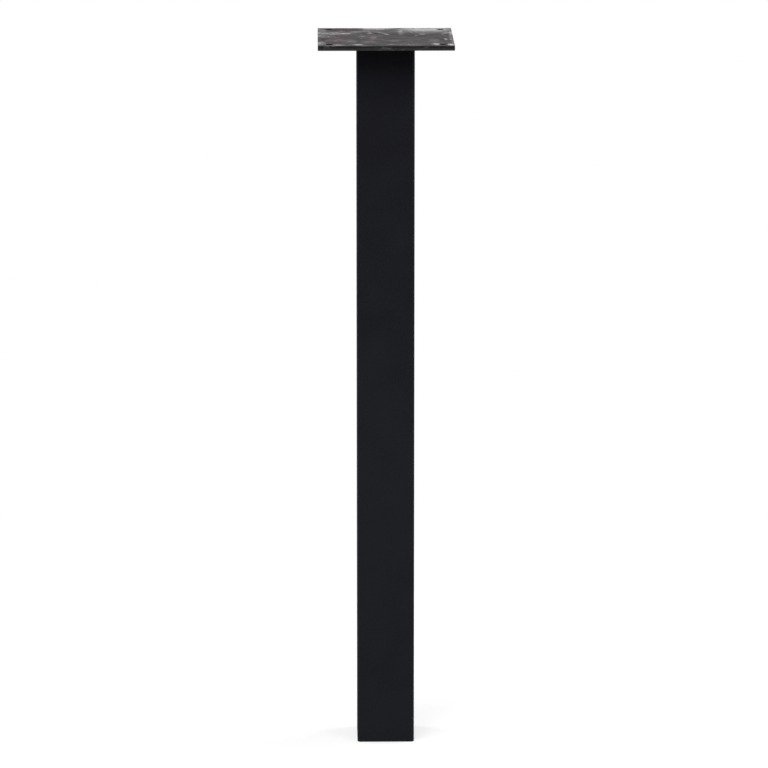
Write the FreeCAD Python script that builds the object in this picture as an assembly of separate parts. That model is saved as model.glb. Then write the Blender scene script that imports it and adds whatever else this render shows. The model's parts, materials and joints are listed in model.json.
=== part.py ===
import FreeCAD
import Part
import math
import os

# Square metal table leg: a box-section steel tube, welded along its four flats to the underside
# of a square screw plate, with a moulded plug pressed into the open foot.
# Millimetres. +Z is up, the origin is on the floor under the middle of the leg, the front faces -Y.

# Driving dimensions

# From the floor to the top of the plate
overall_height = 750.0

# Tube: outside width, wall, and inside radius of its rolled corners
tube_side = 60.0
tube_wall = 2.0
tube_bend_radius = 1.5

# Plate: radius of its four upright corners, and of the edges round both faces
plate_side = 140.0
plate_thickness = 5.0
plate_corner_radius = 1.5
plate_edge_radius = 0.5

# Screw holes: distance between centres, and the chamfer on both rims
hole_diameter = 7.0
hole_spacing = 116.0
hole_chamfer = 0.3

# Fillet welds: length of each leg, fullness of the face, and bare flat left at each end of a run
weld_leg = 4.0
weld_bulge = 0.5
weld_end_margin = 0.5

# Foot plug: a flat head below the tube, and a finned skirt inside it
plug_head_thickness = 2.5
plug_head_edge_radius = 0.5
plug_skirt_length = 24.0
plug_skirt_wall = 2.2
plug_fin_count = 4
plug_fin_thickness = 1.2
plug_fin_reach = 1.6
plug_fin_clearance = 0.1

# Sizes and heights that follow from them

tube_outer_radius = tube_bend_radius + tube_wall
tube_bore = tube_side - 2 * tube_wall
tube_bottom = plug_head_thickness
plate_bottom = overall_height - plate_thickness
weld_straight = tube_side - 2 * (tube_outer_radius + weld_end_margin + weld_leg)
plug_fin_side = tube_bore - 2 * plug_fin_clearance
plug_fin_radius = tube_bend_radius - plug_fin_clearance
plug_fin_pitch = plug_skirt_length / plug_fin_count
plug_skirt_side = plug_fin_side - 2 * plug_fin_reach
plug_hollow_side = plug_skirt_side - 2 * plug_skirt_wall

UP = FreeCAD.Vector(0, 0, 1)
AXIS = FreeCAD.Vector(0, 0, 0)
QUARTER_TURN = 90
SIDES = ("front", "right", "back", "left")
SAME_HEIGHT = 1e-6


def rounded_square(side, radius, bottom, height):
    """An upright prism on the leg's axis with a square section and round corners."""
    straight = side / 2 - radius
    corner = straight + radius * math.cos(math.radians(QUARTER_TURN / 2))
    edges = []
    for quarter in range(len(SIDES)):
        turn = FreeCAD.Rotation(UP, QUARTER_TURN * quarter)
        flat_start = turn.multVec(FreeCAD.Vector(side / 2, -straight, bottom))
        flat_end = turn.multVec(FreeCAD.Vector(side / 2, straight, bottom))
        corner_middle = turn.multVec(FreeCAD.Vector(corner, corner, bottom))
        corner_end = turn.multVec(FreeCAD.Vector(straight, side / 2, bottom))
        edges.append(Part.LineSegment(flat_start, flat_end).toShape())
        edges.append(Part.Arc(flat_end, corner_middle, corner_end).toShape())
    return Part.Face(Part.Wire(edges)).extrude(UP * height)


def rim_edges(prism, height):
    """The edges round a prism's flat end at one height."""
    for face in prism.Faces:
        box = face.BoundBox
        if box.ZLength < SAME_HEIGHT and abs(box.ZMin - height) < SAME_HEIGHT:
            return face.OuterWire.Edges
    raise ValueError("no flat end at this height")


def make_tube():
    """Hollow box section, cut square at both ends."""
    length = plate_bottom - tube_bottom
    outside = rounded_square(tube_side, tube_outer_radius, tube_bottom, length)
    inside = rounded_square(tube_bore, tube_bend_radius, tube_bottom, length)
    return outside.cut(inside)


def screw_hole(x, y):
    """A through hole with its rims chamfered on both faces of the plate."""
    radius = hole_diameter / 2
    rim_radius = radius + hole_chamfer
    lower_rim_place = FreeCAD.Vector(x, y, plate_bottom)
    upper_rim_place = FreeCAD.Vector(x, y, overall_height - hole_chamfer)
    shank = Part.makeCylinder(radius, plate_thickness, lower_rim_place, UP)
    lower_rim = Part.makeCone(rim_radius, radius, hole_chamfer, lower_rim_place, UP)
    upper_rim = Part.makeCone(radius, rim_radius, hole_chamfer, upper_rim_place, UP)
    return shank.fuse([lower_rim, upper_rim])


def make_plate():
    """Flat square plate with softened edges and a screw hole near each corner."""
    blank = rounded_square(plate_side, plate_corner_radius, plate_bottom, plate_thickness)
    rims = rim_edges(blank, plate_bottom) + rim_edges(blank, overall_height)
    plate = blank.makeFillet(plate_edge_radius, rims)
    for x in (-hole_spacing / 2, hole_spacing / 2):
        for y in (-hole_spacing / 2, hole_spacing / 2):
            plate = plate.cut(screw_hole(x, y))
    return plate


def weld_section(x):
    """The bead's section on the front flat: two straight legs and a slightly full face."""
    root = FreeCAD.Vector(x, -tube_side / 2, plate_bottom)
    toe_on_plate = root + FreeCAD.Vector(0, -weld_leg, 0)
    toe_on_tube = root + FreeCAD.Vector(0, 0, -weld_leg)
    outward = FreeCAD.Vector(0, -1, -1).normalize()
    crest = (toe_on_plate + toe_on_tube) / 2 + outward * weld_bulge
    edges = [
        Part.LineSegment(root, toe_on_plate).toShape(),
        Part.Arc(toe_on_plate, crest, toe_on_tube).toShape(),
        Part.LineSegment(toe_on_tube, root).toShape(),
    ]
    return Part.Face(Part.Wire(edges))


def make_weld(angle):
    """One fillet weld along a flat of the tube, rounded off at both ends."""
    left = -weld_straight / 2
    right = weld_straight / 2
    left_root = FreeCAD.Vector(left, -tube_side / 2, plate_bottom)
    right_root = FreeCAD.Vector(right, -tube_side / 2, plate_bottom)
    run = weld_section(left).extrude(right_root - left_root)
    left_end = weld_section(left).revolve(left_root, UP, -QUARTER_TURN)
    right_end = weld_section(right).revolve(right_root, UP, QUARTER_TURN)
    bead = run.fuse([left_end, right_end]).removeSplitter()
    bead.rotate(AXIS, UP, angle)
    return bead


def make_plug():
    """Flat-headed plug: a hollow skirt with thin fins that grip the inside of the tube."""
    head = rounded_square(tube_side, tube_outer_radius, 0, plug_head_thickness)
    head = head.makeFillet(plug_head_edge_radius, rim_edges(head, 0))
    skirt = rounded_square(plug_skirt_side, tube_bend_radius, tube_bottom, plug_skirt_length)
    hollow = rounded_square(plug_hollow_side, tube_bend_radius, tube_bottom, plug_skirt_length)
    fins = []
    for number in range(plug_fin_count):
        fin_top = tube_bottom + plug_skirt_length - number * plug_fin_pitch
        fin_bottom = fin_top - plug_fin_thickness
        fins.append(rounded_square(plug_fin_side, plug_fin_radius, fin_bottom, plug_fin_thickness))
    return head.fuse([skirt] + fins).cut(hollow).removeSplitter()


def main():
    nodes = {
        "leg_tube": make_tube(),
        "top_plate": make_plate(),
        "foot_plug": make_plug(),
    }
    for number, side in enumerate(SIDES):
        nodes["weld_" + side] = make_weld(QUARTER_TURN * number)
    os.makedirs("parts", exist_ok=True)
    for name, shape in nodes.items():
        shape.exportStep("parts/" + name + ".step")
        print(name, len(shape.Solids), "solid", shape.isValid(), round(shape.Volume, 1), "mm3")


main()
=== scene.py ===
import json
import math

import bpy
from mathutils import Matrix, Vector


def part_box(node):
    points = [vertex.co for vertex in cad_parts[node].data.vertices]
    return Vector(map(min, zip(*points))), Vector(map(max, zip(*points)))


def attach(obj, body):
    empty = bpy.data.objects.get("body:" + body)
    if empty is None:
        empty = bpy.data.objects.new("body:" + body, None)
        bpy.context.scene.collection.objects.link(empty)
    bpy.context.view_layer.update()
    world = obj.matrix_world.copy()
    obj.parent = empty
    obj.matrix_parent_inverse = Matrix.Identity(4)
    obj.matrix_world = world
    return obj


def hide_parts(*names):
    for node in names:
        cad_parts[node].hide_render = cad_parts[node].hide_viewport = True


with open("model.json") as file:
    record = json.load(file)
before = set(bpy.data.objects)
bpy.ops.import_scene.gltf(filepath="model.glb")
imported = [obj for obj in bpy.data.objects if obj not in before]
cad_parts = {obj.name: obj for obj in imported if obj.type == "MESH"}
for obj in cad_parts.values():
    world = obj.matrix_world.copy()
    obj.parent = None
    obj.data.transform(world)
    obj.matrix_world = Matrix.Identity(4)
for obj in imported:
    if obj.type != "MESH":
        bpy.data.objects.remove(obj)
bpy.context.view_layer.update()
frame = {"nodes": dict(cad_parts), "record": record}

# Looks of a square metal table leg: black powder coat on the tube, a worn steel screw plate,
# rippled weld beads under it and a moulded foot plug. Metres, in the part's own frame.

MM = 0.001
SIDES = ("front", "right", "back", "left")
QUARTER_TURN = 90
UP = 1
DOWN = -1
WITHOUT_HEIGHT = (1, 1, 0)
WHITE = (1, 1, 1, 1)

plate_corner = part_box("top_plate")[1]
plate_half = plate_corner.x
plate_top = plate_corner.z
screws = next(mount["dims"] for mount in frame["record"]["mounts"] if mount["name"] == "top_screws")
hole_offset = screws["spacing_x_mm"] * MM / 2
hole_radius = screws["hole_r_mm"] * MM

# Camera, placed to give the photograph's framing with an unshifted lens, and how far it sees
CAMERA_PLACE = (-0.07, -4.5, 1.353)
CAMERA_TARGET = (-0.0014, 0.0, 0.3828)
CAMERA_LENS = 205.2
CAMERA_REACH = 100.0

# Light: even sky, and disc lamps by name, place, diameter and watts
SKY_STRENGTH = 0.22
BACKGROUND_STRENGTH = 1.0
LAMPS = (
    ("key", (-1.6, -3.1, 4.2), 3.6, 188.0),
    ("fill", (1.7, -1.7, 1.9), 1.6, 26.0),
    ("side_right", (2.25, 0.7, 1.4), 1.6, 52.0),
    ("side_left", (-2.25, 0.7, 1.4), 1.6, 37.0),
)
LAMP_TARGET = (0.0, 0.0, 0.45)

# Floor: its matte colour, the glow that lifts it to white where it is shown, and the distances
# from the leg between which it turns into plain background
FLOOR_HALF = 20.0
FLOOR_COLOUR = (0.35, 0.35, 0.35, 1)
FLOOR_GLOW = 0.62
FLOOR_FADE_START = 0.5
FLOOR_FADE_END = 1.1

# Noise: how far one seed is from the next, and the middle of its values. In the lists below a SIZE is
# that of a noise's features, a RANGE gives the levels at which they start to show and show in full,
# and a SHARE is how much something counts in a sum.
SEED_STEP = (1.0, 0.7, 0.3)
NOISE_MIDDLE = (0.5, 0.5, 0.5)

# Soft ellipses: where they fade out and where they are full, in half lengths from the middle
DAB_EDGE = 1.15
DAB_CORE = 0.35

# Upward part of the normal at which a face starts to count as level, and counts in full
LEVEL_START = 0.55
LEVEL_FULL = 0.9

# Coat: its two shades of black, the heights between which it turns from one to the other as painted
# light that makes the leg lighter towards the foot, its faint clouds and its orange-peel skin
COAT_DARK = (0.0099, 0.0099, 0.0130, 1)
COAT_LIGHT = (0.0141, 0.0157, 0.0189, 1)
COAT_PAINTED_LIGHT_TOP = 0.51
COAT_PAINTED_LIGHT_FOOT = 0.36
COAT_PAINTED_LIGHT_SHARE = 0.6
COAT_CLOUD_SIZE = 170 * MM
COAT_PATCH_SIZE = 35 * MM
COAT_CLOUD_LEVEL = 1.2
COAT_SKIN_SIZE = 1.3 * MM
COAT_SKIN_RANGE = (0.3, 0.7)
COAT_SKIN_SHARE = 0.8
COAT_SKIN_HEIGHT = 0.06 * MM
COAT_SKIN_STRENGTH = 1.0
COAT_SHEEN_SIZE = 9 * MM
COAT_ROUGHNESS = (0.48, 0.6)
COAT_SPECULAR = 0.02

# Plug: the two tones of its fine grain, and its surface
PLUG_DARK = (0.0115, 0.0128, 0.0150, 1)
PLUG_LIGHT = (0.0135, 0.0150, 0.0174, 1)
PLUG_GRAIN_SIZE = 0.6 * MM
PLUG_GRAIN_HEIGHT = 0.03 * MM
PLUG_GRAIN_STRENGTH = 0.5
PLUG_ROUGHNESS = 0.55
PLUG_SPECULAR = 0.04

# Plate's top: mottled mill scale, streaked by rolling and tinted in places
SCALE_DARKEST = (0.023, 0.023, 0.023, 1)
SCALE_DARK = (0.0421, 0.0391, 0.0404, 1)
SCALE_LIGHT = (0.0814, 0.0756, 0.0780, 1)
SCALE_RANGE = (0.36, 0.64)
MOTTLE_SIZE = 12 * MM
MOTTLE_SHARE = 0.6
STREAK_SIZE = 5 * MM
STREAK_LENGTH = 8
STREAK_TURN = -6
STREAK_SHARE = 0.4
WARM_TINT = (1.12, 0.93, 1.0, 1)
WARM_RANGE = (0.2, 0.55)

# Plate's top where it is rubbed pale: ragged edges, breaks in the rubbed steel, and wear along the rim
RUBBED_STEEL = (0.486, 0.480, 0.482, 1)
RUBBED_FULL = 1.3
RAGGED_SIZE = 6 * MM
RAGGED_PUSH = 4 * MM
GRAIN_SIZE = 2.2 * MM
GRAIN_RANGE = (0.3, 0.65)
BRUSH_SIZE = 1.4 * MM
BRUSH_LENGTH = 12
BRUSH_TURN = -24
BRUSH_RANGE = (0.35, 0.65)
WHOLE_SHARE = 0.4
BROKEN_SHARE = 0.4
RIM_INSIDE = 5 * MM
RIM_OUTSIDE = 0.5 * MM
RIM_PATCH_SIZE = 13 * MM
RIM_PATCH_RANGE = (0.42, 0.66)
RIM_SHARE = 0.7

# Plate's sides: dark below the top edge, then lighter as a sheared band that also paints the light from
# below, and scuffed in places; depths from the top
SIDE_DARK = (0.0173, 0.0163, 0.0168, 1)
SIDE_SHEARED_LIT = (0.0323, 0.0309, 0.0319, 1)
SIDE_SCUFFED = (0.0757, 0.0726, 0.0746, 1)
SHEAR_LIT_START = 0.5 * MM
SHEAR_LIT_FULL = 2.2 * MM
TEAR_SIZE = 3 * MM
TEAR_STRETCH = (0.3, 0.3, 2)
TEAR_SWING = 2 * MM
SCUFF_SIZE = 5 * MM
SCUFF_STRETCH = (2, 2, 1)
SCUFF_RANGE = (0.5, 0.72)

# Plate's surface, and how far coat, which also paints the shade in the screw holes, reaches out of them
PLATE_ROUGHNESS = (0.55, 0.75)
PLATE_SPECULAR = 0.015
PLATE_BUMP_MOTTLE_SHARE = 0.5
PLATE_BUMP_HEIGHT = 0.08 * MM
PLATE_BUMP_STRENGTH = 0.6
HOLE_COAT_SHADE_FULL = 0.2 * MM
HOLE_COAT_SHADE_END = 0.5 * MM

# Strokes on the plate's top, each kind in a few directions: turns in degrees, length in widths, and
# the patches that break them up
SCRATCH_SHARE = 0.25
SCRATCHES = {
    "turns": (8, 67, 128),
    "size": 0.7 * MM,
    "length": 40,
    "detail": 1,
    "range": (0.64, 0.72),
    "seed": 1,
    "patch_size": 22 * MM,
    "patch_detail": 2,
    "patch_range": (0.5, 0.62),
    "patch_seed": 5,
}
SMEAR_SHARE = 0.5
SMEARS = {
    "turns": (-14, 38, 104),
    "size": 3.2 * MM,
    "length": 9,
    "detail": 2,
    "range": (0.5, 0.72),
    "seed": 8,
    "patch_size": 20 * MM,
    "patch_detail": 3,
    "patch_range": (0.42, 0.62),
    "patch_seed": 11,
}

# Places on the plate's top that are rubbed pale, or left dark where the brightness is negative: name,
# across from the middle, back from the front edge, half length, half width (all in millimetres), turn
# in degrees and brightness
# Two of these are painted light and shade, not wear: the pale band along the back and the dark front
# rim.
RUBS = (
    ("front edge, left", -49, 9, 9, 6, 0, 0.65),
    ("front edge, dab", -29, 10, 7, 7, -8, 0.65),
    ("front, dark patch", -9, 7, 12, 9, 0, -0.6),
    ("left end, front", -66, 20, 6, 18, 0, 0.45),
    ("left end, dark", -64, 54, 5, 10, 0, -0.8),
    ("left end, haze", -60, 74, 10, 11, 0, 0.28),
    ("left end, back", -66, 106, 7, 34, 0, 0.38),
    ("left, pale area", -53, 97, 13, 14, -15, 0.5),
    ("left streak, back", -40, 98, 7, 6, 0, 0.6),
    ("left streak, far back", -31, 108, 7, 6, 25, 0.5),
    ("left streak, front", -53, 47, 10, 4, 0, 0.35),
    ("left streak, nearer", -34, 32, 8, 5, 0, 0.4),
    ("left, dark middle", -36, 64, 9, 16, 0, -0.25),
    ("back left, dark band", -40, 126, 17, 8, 0, -0.6),
    ("middle left, dab", -24, 76, 3, 13, 0, 0.15),
    ("dab, back", -16, 97, 4, 9, 0, 0.45),
    ("dab, middle", -12.5, 62, 4, 17, 0, 0.28),
    ("middle, soft patch", -17, 33, 11, 12, 0, 0.3),
    ("slanting scratch", -4, 101, 14, 4, -60, 0.5),
    ("slanting scratch, end", 2, 89, 3, 7, 0, 0.5),
    ("pale stroke", 16.5, 102, 26, 3.5, 90, 0.36),
    ("soft patch", 9, 40, 8, 15, 0, 0.25),
    ("back, middle", -9, 138, 22, 15, 0, 0.75),
    ("behind the middle", -19, 112, 13, 12, 0, 0.22),
    ("back, right", 47, 132, 33, 24, -6, 0.6),
    ("back, right, fading", 42, 114, 36, 26, 0, 0.28),
    # Painted light: a faint pale band along the whole back of the top
    ("back, painted light, left to right", 5, 132, 80, 30, 0, 0.16),
    ("front strip", 20, 12, 34, 7, 0, 0.2),
    ("wedge", 38, 91, 5, 9, 0, 0.35),
    ("wedge, spot", 32, 80, 2, 6, 0, 0.4),
    ("right end, back", 64, 92, 6, 22, 0, 0.4),
    ("right end, spot", 62, 50, 2.2, 6, 0, 0.85),
    ("right end, dark, back", 64, 87, 4, 10, 0, -0.6),
    ("right end, dark", 60, 66, 4, 9, 0, -0.5),
    ("right end, dark, front", 62, 32, 4, 8, 0, -0.5),
    ("right end, rim", 69, 62, 4, 50, 0, 0.17),
    ("right, soft patch", 50, 42, 8, 16, 0, 0.3),
    ("by the right hole", 51, 15, 5, 9, 15, 0.85),
    ("front right corner", 66, 10, 4, 8, 0, 1.25),
    # Painted shade: a dark band along the whole front edge of the top
    ("front rim, painted shade", 14, 0, 75, 5, 0, -0.35),
)
# Wider areas of the plate's top where handling has left smears, in the same form
WORN_AREAS = (
    ("left half", -42, 70, 46, 80, 0, 0.9),
    ("back", 35, 125, 60, 35, 0, 1.0),
    ("right end", 66, 60, 14, 70, 0, 1.0),
    ("front edge", 0, 11, 80, 9, 0, 0.9),
)
# Warm tints in the scale, in the same form
WARM_STAINS = (
    ("left", -49, 76, 12, 38, 0, 0.8),
    ("middle", -15, 72, 9, 38, 0, 1.0),
    ("back", -40, 122, 18, 15, 0, 1.0),
)

# Weld beads: fullness of the face, slow changes of their size along a run, the ripples, how far those
# bow and how their pitch swings, and the divisions of the mesh
BEAD_BULGE = 0.5 * MM
BEAD_WANDER = 0.03
BEAD_WANDER_SLOW = 5.3 * MM
BEAD_WANDER_QUICK = 2.9 * MM
BEAD_RIPPLE_PITCH = 1.7 * MM
BEAD_RIPPLE_DEPTH = 0.045
BEAD_RIPPLE_BOW = 0.8
BEAD_RIPPLE_SWING = 0.4
BEAD_SWING_LENGTH = 6.1 * MM
BEAD_STATIONS = 240
BEAD_POINTS = 10


class Nodes:
    """A node tree, with short ways to add nodes and join them."""

    def __init__(self, tree):
        self.tree = tree

    def put(self, socket, value):
        """Links another node's output to a socket, or sets the socket to a plain value."""
        if isinstance(value, bpy.types.NodeSocket):
            self.tree.links.new(value, socket)
        else:
            socket.default_value = value

    def add(self, kind, inputs=None, **settings):
        """A new node of this kind, with its inputs put in and its settings made."""
        node = self.tree.nodes.new(kind)
        for name, value in settings.items():
            setattr(node, name, value)
        for key, value in (inputs or {}).items():
            self.put(node.inputs[key], value)
        return node

    def calculate(self, operation, first, second=0):
        """The outcome of one operation on a value, or on two."""
        return self.add("ShaderNodeMath", {0: first, 1: second}, operation=operation).outputs[0]

    def plus(self, value, extra, share):
        """A value with a share of another one added to it."""
        inputs = {0: extra, 1: share, 2: value}
        return self.add("ShaderNodeMath", inputs, operation="MULTIPLY_ADD").outputs[0]

    def ramp(self, value, low, high):
        """0 below low, 1 above high and smooth between them. High may be the lower one."""
        inputs = {"Value": value, "From Min": low, "From Max": high}
        return self.add("ShaderNodeMapRange", inputs, interpolation_type="SMOOTHSTEP").outputs[0]

    def between(self, value, low, high):
        """A value from 0 to 1, stretched to run from low to high."""
        inputs = {"Value": value, "To Min": low, "To Max": high}
        return self.add("ShaderNodeMapRange", inputs).outputs[0]

    def shown(self):
        """1 for rays that show the background, straight or in gloss or glass, and 0 for the others."""
        path = self.add("ShaderNodeLightPath").outputs
        seen = self.calculate("MAXIMUM", path["Is Camera Ray"], path["Is Glossy Ray"])
        return self.calculate("MAXIMUM", seen, path["Is Transmission Ray"])


class Finish(Nodes):
    """A material's nodes, drawn in the part's own frame."""

    def __init__(self, name):
        self.material = bpy.data.materials.new(name)
        self.material.use_nodes = True
        super().__init__(self.material.node_tree)
        self.shader = self.tree.nodes["Principled BSDF"]
        self.place = self.add("ShaderNodeTexCoord").outputs["Object"]

    def surface(self, colour, roughness, specular):
        """Sets the shader's colour, its roughness and how strongly it mirrors."""
        self.put(self.shader.inputs["Base Color"], colour)
        self.put(self.shader.inputs["Roughness"], roughness)
        self.put(self.shader.inputs["Specular IOR Level"], specular)

    def bump(self, relief, height, strength):
        """Gives the shader a fine relief of this height, in metres."""
        inputs = {"Height": relief, "Distance": height, "Strength": strength}
        self.put(self.shader.inputs["Normal"], self.add("ShaderNodeBump", inputs).outputs[0])

    def mix(self, factor, first, second, blend="MIX"):
        """The first colour where the factor is 0, blended with the second where it is 1."""
        # The node has sockets of the same names for other kinds of value, so these go by number
        inputs = {0: factor, 6: first, 7: second}
        return self.add("ShaderNodeMix", inputs, data_type="RGBA", blend_type=blend).outputs[2]

    def vector(self, operation, inputs):
        """The outputs of a sum with vectors."""
        return self.add("ShaderNodeVectorMath", inputs, operation=operation).outputs

    def axes(self, vector):
        """The x, y and z of a vector."""
        return self.add("ShaderNodeSeparateXYZ", {0: vector}).outputs

    def mapped(self, place, start, scale, turn):
        """A place as seen from a start, on axes scaled and then turned about z, in degrees."""
        inputs = {"Vector": place, "Location": start, "Scale": scale}
        inputs["Rotation"] = (0, 0, math.radians(turn))
        return self.add("ShaderNodeMapping", inputs, vector_type="TEXTURE").outputs[0]

    def noise(self, size, detail, stretch=(1, 1, 1), turn=0, seed=0):
        """Noise with features of about this size, in metres, stretched along turned axes."""
        start = [seed * step for step in SEED_STEP]
        place = self.mapped(self.place, start, stretch, turn)
        inputs = {"Vector": place, "Scale": 1 / size, "Detail": detail}
        return self.add("ShaderNodeTexNoise", inputs).outputs[0]

    def lines(self, size, length, turn, detail, seed):
        """Noise drawn out into level lines of this width, with their length in widths."""
        return self.noise(size, detail, stretch=(length, 1, 1), turn=turn, seed=seed)

    def warped(self, size, push):
        """The place, pushed about by noise, which makes the edge of what is drawn there ragged."""
        inputs = {"Vector": self.place, "Scale": 1 / size, "Detail": 3}
        noise = self.add("ShaderNodeTexNoise", inputs).outputs[1]
        centred = self.vector("SUBTRACT", {0: noise, 1: NOISE_MIDDLE})[0]
        pushed = self.vector("SCALE", {0: centred, "Scale": 2 * push})[0]
        return self.vector("ADD", {0: self.place, 1: pushed})[0]

    def dab(self, place, middle, half_length, half_width, turn):
        """A soft ellipse on a level face: 1 in its middle and 0 outside."""
        local = self.mapped(place, middle, (half_length, half_width, 1), turn)
        distance = self.vector("LENGTH", {0: local})["Value"]
        return self.ramp(distance, DAB_EDGE, DAB_CORE)

    def facing(self, direction):
        """1 on faces that look up, or down where that is the direction, and 0 on the others."""
        normal = self.add("ShaderNodeTexCoord").outputs["Normal"]
        return self.ramp(self.axes(normal)[2], LEVEL_START * direction, LEVEL_FULL * direction)


def powder_coat():
    """Matte black powder coat with a faint orange-peel skin; painted light makes it lighter towards the
    foot.
    """
    finish = Finish("black_powder_coat")
    clouds = finish.noise(COAT_CLOUD_SIZE, detail=2, seed=2)
    patches = finish.noise(COAT_PATCH_SIZE, detail=3, seed=3)
    height = finish.axes(finish.place)[2]
    # Painted light: from this height down to the foot the coat is made lighter
    low = finish.ramp(height, COAT_PAINTED_LIGHT_TOP, COAT_PAINTED_LIGHT_FOOT)
    skin = finish.noise(COAT_SKIN_SIZE, detail=2)
    tone = finish.calculate("SUBTRACT", finish.calculate("ADD", clouds, patches), COAT_CLOUD_LEVEL)
    tone = finish.plus(tone, low, COAT_PAINTED_LIGHT_SHARE)
    tone = finish.plus(tone, finish.ramp(skin, *COAT_SKIN_RANGE), COAT_SKIN_SHARE)
    colour = finish.mix(tone, COAT_DARK, COAT_LIGHT)
    sheen = finish.noise(COAT_SHEEN_SIZE, detail=3)
    finish.surface(colour, finish.between(sheen, *COAT_ROUGHNESS), COAT_SPECULAR)
    finish.bump(skin, COAT_SKIN_HEIGHT, COAT_SKIN_STRENGTH)
    return finish.material


def moulded_plastic():
    """Black plastic with a fine spark-eroded grain."""
    finish = Finish("moulded_black_plastic")
    grain = finish.noise(PLUG_GRAIN_SIZE, detail=2)
    finish.surface(finish.mix(grain, PLUG_DARK, PLUG_LIGHT), PLUG_ROUGHNESS, PLUG_SPECULAR)
    finish.bump(grain, PLUG_GRAIN_HEIGHT, PLUG_GRAIN_STRENGTH)
    return finish.material


def plate_marks(finish, place, marks):
    """The brightness that a list of marks adds up to at each place on the plate's top."""
    front = -plate_half
    total = 0.0
    for name, across, back, half_length, half_width, turn, brightness in marks:
        middle = (across * MM, front + back * MM, plate_top)
        dab = finish.dab(place, middle, half_length * MM, half_width * MM, turn)
        total = finish.plus(total, dab, brightness)
    return total


def strokes(finish, kind):
    """Strokes in a few directions, broken up by patches: 1 on a stroke and 0 beside it."""
    total = 0.0
    for number, turn in enumerate(kind["turns"]):
        seed = kind["seed"] + number
        patch_seed = kind["patch_seed"] + number
        lines = finish.lines(kind["size"], kind["length"], turn, kind["detail"], seed)
        patches = finish.noise(kind["patch_size"], kind["patch_detail"], seed=patch_seed)
        line = finish.ramp(lines, *kind["range"])
        patch = finish.ramp(patches, *kind["patch_range"])
        total = finish.calculate("MAXIMUM", total, finish.calculate("MULTIPLY", line, patch))
    return total


def rim_wear(finish):
    """Patchy wear along the plate's outline: 1 at the edge, 0 further in."""
    x, y = finish.axes(finish.place)[0:2]
    across = finish.calculate("ABSOLUTE", x)
    along = finish.calculate("ABSOLUTE", y)
    inward = finish.calculate("SUBTRACT", plate_half, finish.calculate("MAXIMUM", across, along))
    rim = finish.ramp(inward, RIM_INSIDE, RIM_OUTSIDE)
    patches = finish.noise(RIM_PATCH_SIZE, detail=4, seed=5)
    return finish.calculate("MULTIPLY", rim, finish.ramp(patches, *RIM_PATCH_RANGE))


def screw_hole_coat_and_shade(finish):
    """1 inside the four screw holes and on their rims, 0 elsewhere on the plate."""
    one_quarter = finish.vector("ABSOLUTE", {0: finish.place})[0]
    level = finish.vector("MULTIPLY", {0: one_quarter, 1: WITHOUT_HEIGHT})[0]
    off_axis = finish.vector("DISTANCE", {0: level, 1: (hole_offset, hole_offset, 0)})["Value"]
    return finish.ramp(off_axis, hole_radius + HOLE_COAT_SHADE_END, hole_radius + HOLE_COAT_SHADE_FULL)


def mill_scale(finish, ragged, mottle):
    """Colour of the dark scale on the plate's top."""
    streaks = finish.lines(STREAK_SIZE, STREAK_LENGTH, STREAK_TURN, detail=3, seed=2)
    tone = finish.plus(finish.calculate("MULTIPLY", mottle, MOTTLE_SHARE), streaks, STREAK_SHARE)
    scale = finish.mix(finish.ramp(tone, *SCALE_RANGE), SCALE_DARK, SCALE_LIGHT)
    stains = plate_marks(finish, ragged, WARM_STAINS)
    warm = finish.calculate("MULTIPLY", stains, finish.ramp(mottle, *WARM_RANGE))
    return finish.mix(warm, scale, WARM_TINT, "MULTIPLY")


def rubbing(finish, ragged, grain):
    """How far the plate's top is rubbed pale, or is left dark where this is below 0."""
    worn = finish.calculate("MINIMUM", plate_marks(finish, ragged, WORN_AREAS), 1)
    smears = finish.calculate("MULTIPLY", strokes(finish, SMEARS), worn)
    rubbed = finish.plus(plate_marks(finish, ragged, RUBS), rim_wear(finish), RIM_SHARE)
    rubbed = finish.plus(rubbed, smears, SMEAR_SHARE)
    brush = finish.lines(BRUSH_SIZE, BRUSH_LENGTH, BRUSH_TURN, detail=2, seed=10)
    breaks = finish.calculate("ADD", finish.ramp(grain, *GRAIN_RANGE), finish.ramp(brush, *BRUSH_RANGE))
    rubbed = finish.calculate("MULTIPLY", rubbed, finish.plus(WHOLE_SHARE, breaks, BROKEN_SHARE))
    return finish.plus(rubbed, strokes(finish, SCRATCHES), SCRATCH_SHARE)


def sheared_lit_sides(finish):
    """Colour of the plate's cut sides, with a sheared band lower down that is also painted light."""
    height = finish.axes(finish.place)[2]
    torn = finish.noise(TEAR_SIZE, detail=3, stretch=TEAR_STRETCH, seed=6)
    torn_height = finish.plus(height, torn, TEAR_SWING)
    # Sheared band, which also paints the light that falls on the lower part of the sides
    sheared_lit = finish.ramp(torn_height, plate_top - SHEAR_LIT_START, plate_top - SHEAR_LIT_FULL)
    scuffs = finish.noise(SCUFF_SIZE, detail=4, stretch=SCUFF_STRETCH, seed=7)
    side = finish.mix(sheared_lit, SIDE_DARK, SIDE_SHEARED_LIT)
    return finish.mix(finish.ramp(scuffs, *SCUFF_RANGE), side, SIDE_SCUFFED)


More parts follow.
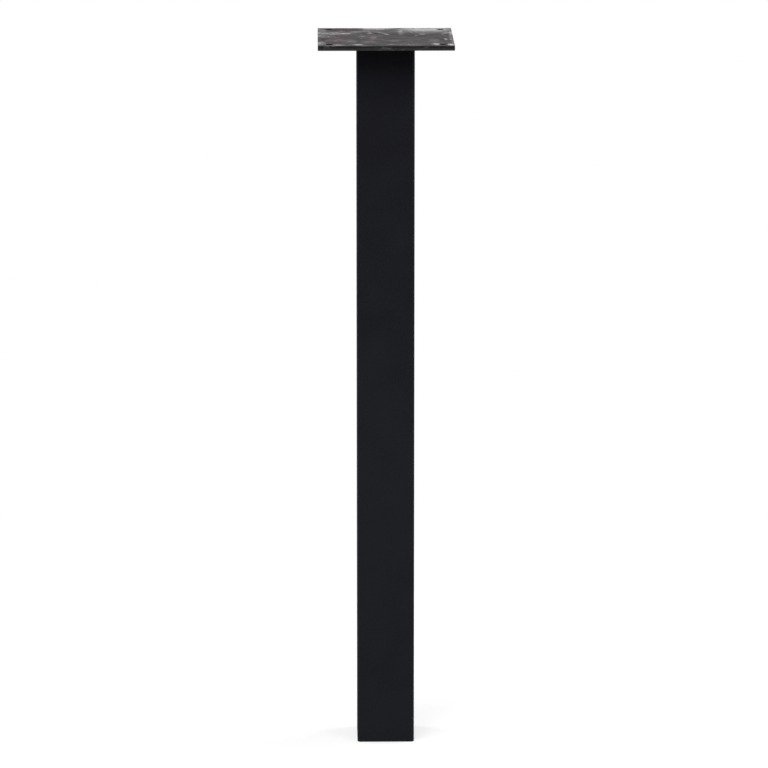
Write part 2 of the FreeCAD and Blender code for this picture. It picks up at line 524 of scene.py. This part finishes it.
def worn_plate():
    """Worn scale on the plate's top, dark cut sides with painted light lower down, and coat on its
    underside and in its holes, where the coat also paints their shade.
    """
    finish = Finish("worn_plate_steel")
    ragged = finish.warped(RAGGED_SIZE, RAGGED_PUSH)
    grain = finish.noise(GRAIN_SIZE, detail=4)
    mottle = finish.noise(MOTTLE_SIZE, detail=5, seed=1)
    rubbed = rubbing(finish, ragged, grain)
    top = finish.mix(finish.ramp(rubbed, 0, -1), mill_scale(finish, ragged, mottle), SCALE_DARKEST)
    top = finish.mix(finish.ramp(rubbed, 0, RUBBED_FULL), top, RUBBED_STEEL)
    colour = finish.mix(finish.facing(DOWN), sheared_lit_sides(finish), COAT_DARK)
    colour = finish.mix(finish.facing(UP), colour, top)
    # Coat in the screw holes and round their rims, which also paints the shade in the holes
    colour = finish.mix(screw_hole_coat_and_shade(finish), colour, COAT_DARK)
    finish.surface(colour, finish.between(grain, *PLATE_ROUGHNESS), PLATE_SPECULAR)
    relief = finish.plus(grain, mottle, PLATE_BUMP_MOTTLE_SHARE)
    finish.bump(relief, PLATE_BUMP_HEIGHT, PLATE_BUMP_STRENGTH)
    return finish.material


def dress(node, material):
    """Gives a solid this material in place of its own."""
    mesh = frame["nodes"][node].data
    mesh.materials.clear()
    mesh.materials.append(material)


def bead_section(x, half_length, leg):
    """Points round a rippled fillet bead on the front flat, at one place along it, from its root."""
    into_end = max(0.0, (abs(x) - (half_length - leg)) / leg)
    fullness = math.sqrt(1 - into_end * into_end)
    wander = 1 - BEAD_WANDER * (1 + math.sin(x / BEAD_WANDER_SLOW) * math.cos(x / BEAD_WANDER_QUICK))
    swing = BEAD_RIPPLE_SWING * math.sin(x / BEAD_SWING_LENGTH)
    points = [(x, 0, 0)]
    for point in range(BEAD_POINTS + 1):
        way = point / BEAD_POINTS
        phase = x / BEAD_RIPPLE_PITCH + swing + BEAD_RIPPLE_BOW * (2 * way - 1) ** 2
        crest = 0.5 + 0.5 * math.cos(math.tau * phase)
        ripple = 1 - BEAD_RIPPLE_DEPTH * crest * math.sin(math.pi * way)
        # The face swells in a parabola, as far outwards as down
        bulge = BEAD_BULGE * 4 * way * (1 - way) / math.sqrt(2)
        reach = fullness * wander * ripple
        out = reach * (leg * (1 - way) + bulge)
        down = reach * (leg * way + bulge)
        points.append((x, -out, -down))
    return points


def make_bead(side, turn, material):
    """A rippled weld bead, which comes to a point at each end, in place of the plain fillet."""
    node = "weld_" + side
    low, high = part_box("weld_front")
    root = Vector((0, high.y, high.z))
    half_length = high.x
    points = [(-half_length, 0, 0)]
    for station in range(1, BEAD_STATIONS):
        x = half_length * (2 * station / BEAD_STATIONS - 1)
        points.extend(bead_section(x, half_length, high.z - low.z))
    points.append((half_length, 0, 0))

    round_section = BEAD_POINTS + 2
    last = len(points) - 1
    faces = []
    for point in range(round_section):
        after = (point + 1) % round_section
        faces.append((0, 1 + after, 1 + point))
        for start in range(1, last - round_section, round_section):
            beyond = start + round_section
            faces.append((start + point, start + after, beyond + after, beyond + point))
        faces.append((last, last - round_section + point, last - round_section + after))
    mesh = bpy.data.meshes.new(node + "_bead")
    mesh.from_pydata([Vector(point) + root for point in points], [], faces)
    mesh.transform(Matrix.Rotation(math.radians(turn), 4, "Z"))
    mesh.materials.append(material)
    mesh.shade_smooth()
    bead = bpy.data.objects.new(node + "_bead", mesh)
    bpy.context.scene.collection.objects.link(bead)
    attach(bead, "root")
    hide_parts(node)


def aim(thing, place, target):
    """Puts a camera or a lamp in the scene, pointed at a target."""
    thing.location = place
    thing.rotation_euler = (Vector(target) - Vector(place)).to_track_quat("-Z", "Y").to_euler()
    bpy.context.scene.collection.objects.link(thing)


def make_camera():
    data = bpy.data.cameras.new("camera")
    data.lens = CAMERA_LENS
    data.clip_end = CAMERA_REACH
    camera = bpy.data.objects.new("camera", data)
    aim(camera, CAMERA_PLACE, CAMERA_TARGET)
    bpy.context.scene.camera = camera


def make_lamps():
    for name, place, size, watts in LAMPS:
        data = bpy.data.lights.new(name, "AREA")
        data.shape = "DISK"
        data.size = size
        data.energy = watts
        aim(bpy.data.objects.new(name, data), place, LAMP_TARGET)


def make_world():
    """An even sky that lights the leg, and shows as plain white."""
    world = bpy.data.worlds.new("studio")
    world.use_nodes = True
    nodes = Nodes(world.node_tree)
    background = nodes.tree.nodes["Background"]
    background.inputs["Color"].default_value = WHITE
    strength = nodes.between(nodes.shown(), SKY_STRENGTH, BACKGROUND_STRENGTH)
    nodes.put(background.inputs["Strength"], strength)
    bpy.context.scene.world = world


def floor_material():
    """White where it is shown, with a pale shadow near the object."""
    finish = Finish("pale_floor")
    shown = finish.shown()
    matte = finish.add("ShaderNodeBsdfDiffuse", {"Color": FLOOR_COLOUR}).outputs[0]
    glow_strength = finish.calculate("MULTIPLY", shown, FLOOR_GLOW)
    glow = finish.add("ShaderNodeEmission", {"Strength": glow_strength}).outputs[0]
    near = finish.add("ShaderNodeAddShader", {0: matte, 1: glow}).outputs[0]
    far = finish.add("ShaderNodeEmission", {"Strength": BACKGROUND_STRENGTH}).outputs[0]
    distance = finish.vector("LENGTH", {0: finish.place})["Value"]
    fade = finish.calculate("MULTIPLY", finish.ramp(distance, FLOOR_FADE_START, FLOOR_FADE_END), shown)
    floor = finish.add("ShaderNodeMixShader", {0: fade, 1: near, 2: far}).outputs[0]
    finish.tree.nodes.remove(finish.shader)
    finish.put(finish.tree.nodes["Material Output"].inputs["Surface"], floor)
    return finish.material


def make_floor():
    corners = [(-1, -1), (1, -1), (1, 1), (-1, 1)]
    mesh = bpy.data.meshes.new("floor")
    mesh.from_pydata([(x * FLOOR_HALF, y * FLOOR_HALF, 0) for x, y in corners], [], [(0, 1, 2, 3)])
    mesh.materials.append(floor_material())
    floor = bpy.data.objects.new("floor", mesh)
    bpy.context.scene.collection.objects.link(floor)


coat = powder_coat()
dress("leg_tube", coat)
dress("top_plate", worn_plate())
dress("foot_plug", moulded_plastic())
for number, side in enumerate(SIDES):
    make_bead(side, QUARTER_TURN * number, coat)

make_camera()
make_lamps()
make_world()
make_floor()
bpy.context.scene.view_settings.view_transform = "Standard"
